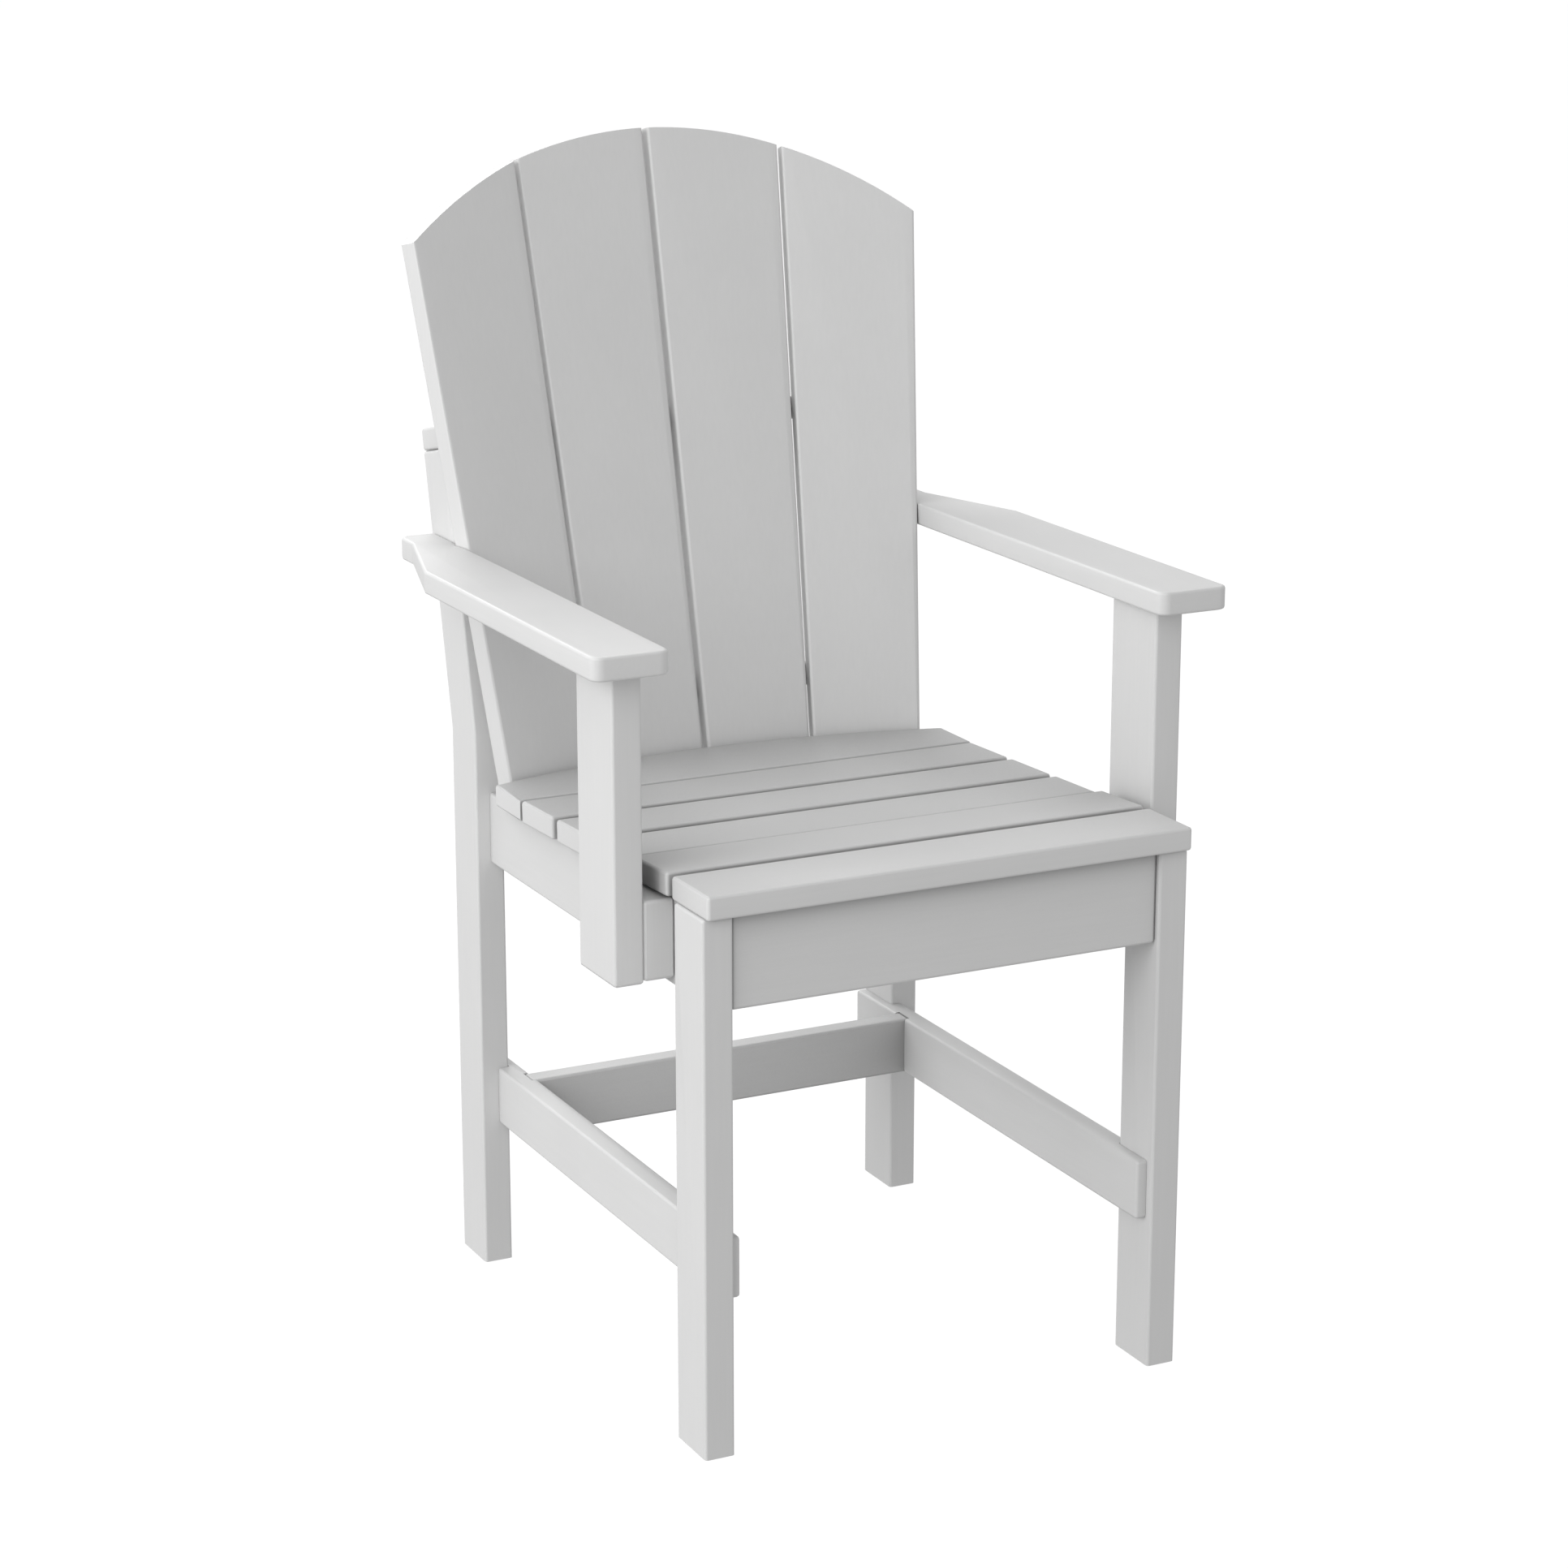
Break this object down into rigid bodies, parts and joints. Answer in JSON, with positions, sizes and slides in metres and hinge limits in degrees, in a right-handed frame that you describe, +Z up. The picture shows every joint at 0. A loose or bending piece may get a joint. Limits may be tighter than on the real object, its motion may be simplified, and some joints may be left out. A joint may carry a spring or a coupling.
{
  "type": "adirondack chair",
  "caption": "Counter-height Adirondack armchair in white poly lumber: slatted contoured seat, fanned reclined back with an arched top, wide flat arms.",
  "frame": {"origin": "on the floor, under the middle of the chair's outer box", "axes": "+X to the sitter's left, +Y towards the back of the chair, +Z up"},
  "size_m": [0.738, 0.777, 1.2833],
  "materials": {
    "lumber": "satin white poly lumber with eased edges",
    "steel": "plain stainless steel"
  },
  "bodies": {
    "root": {"front_leg_left": "lumber", "rear_leg_left": "lumber", "seat_rail_left": "lumber", "side_stretcher_left": "lumber", "arm_spacer_left": "lumber", "arm_post_left": "lumber", "arm_left": "lumber", "arm_dowel_left": "lumber", "front_leg_right": "lumber", "rear_leg_right": "lumber", "seat_rail_right": "lumber", "side_stretcher_right": "lumber", "arm_spacer_right": "lumber", "arm_post_right": "lumber", "arm_right": "lumber", "arm_dowel_right": "lumber", "seat_apron_front": "lumber", "seat_rail_rear": "lumber", "rear_stretcher": "lumber", "back_brace_upper": "lumber", "back_brace_lower": "lumber", "seat_slat_1": "lumber", "seat_slat_2": "lumber", "seat_slat_3": "lumber", "seat_slat_4": "lumber", "seat_slat_5": "lumber", "seat_slat_6": "lumber", "back_slat_1": "lumber", "back_slat_2": "lumber", "back_slat_3": "lumber", "back_slat_4": "lumber", "slat_screw_upper_1": "steel", "slat_screw_upper_2": "steel", "slat_screw_upper_3": "steel", "slat_screw_upper_4": "steel", "slat_screw_upper_5": "steel", "slat_screw_upper_6": "steel", "slat_screw_upper_7": "steel", "slat_screw_upper_8": "steel", "slat_screw_lower_1": "steel", "slat_screw_lower_2": "steel", "slat_screw_lower_3": "steel", "slat_screw_lower_4": "steel", "slat_screw_lower_5": "steel", "slat_screw_lower_6": "steel", "slat_screw_lower_7": "steel", "slat_screw_lower_8": "steel", "brace_screw_1": "steel", "brace_screw_2": "steel", "arm_screw_left_1": "steel", "arm_post_bolt_left_1": "steel", "arm_screw_left_2": "steel", "arm_post_bolt_left_2": "steel", "arm_screw_right_1": "steel", "arm_post_bolt_right_1": "steel", "arm_screw_right_2": "steel", "arm_post_bolt_right_2": "steel"}
  },
  "joints": []
}
